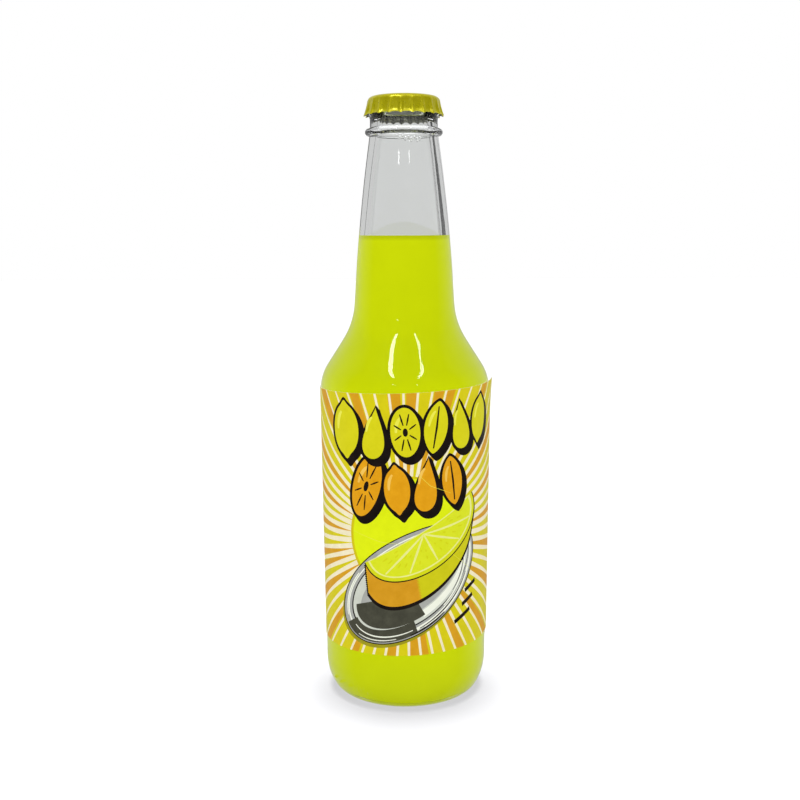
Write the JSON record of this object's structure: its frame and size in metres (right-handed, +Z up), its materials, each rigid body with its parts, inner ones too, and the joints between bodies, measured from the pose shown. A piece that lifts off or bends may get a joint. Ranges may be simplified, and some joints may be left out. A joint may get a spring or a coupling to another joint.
{
  "type": "glass soda bottle",
  "caption": "Filled clear glass soda bottle with a rounded shoulder, a tapering neck, a wraparound paper label and a fluted metal crown that lifts off.",
  "frame": {"origin": "on the bottle's axis, in the plane that it stands on", "axes": "+Z up along the bottle's axis towards the crown, -Y out of the front of the label"},
  "size_m": [0.0636, 0.0636, 0.221],
  "materials": {
    "clear_glass": "clear flint glass, fire-polished, with mould marks and a stippled heel",
    "citrus_soda": "cloudy yellow-green drink",
    "label_paper": "coated paper, offset printed in yellow and orange",
    "lacquered_steel": "tinplate with transparent gold-yellow lacquer, glossy",
    "liner_compound": "soft moulded sealing compound"
  },
  "bodies": {
    "bottle": {"glass_bottle": "clear_glass", "soda": "citrus_soda", "label": "label_paper"},
    "crown": {"crown_shell": "lacquered_steel", "crown_liner": "liner_compound"}
  },
  "joints": [
    {"name": "crown_lift", "type": "slide", "parent": "bottle", "child": "crown", "axis": [0, 0, 1], "range_m": [0, 0.03]}
  ]
}
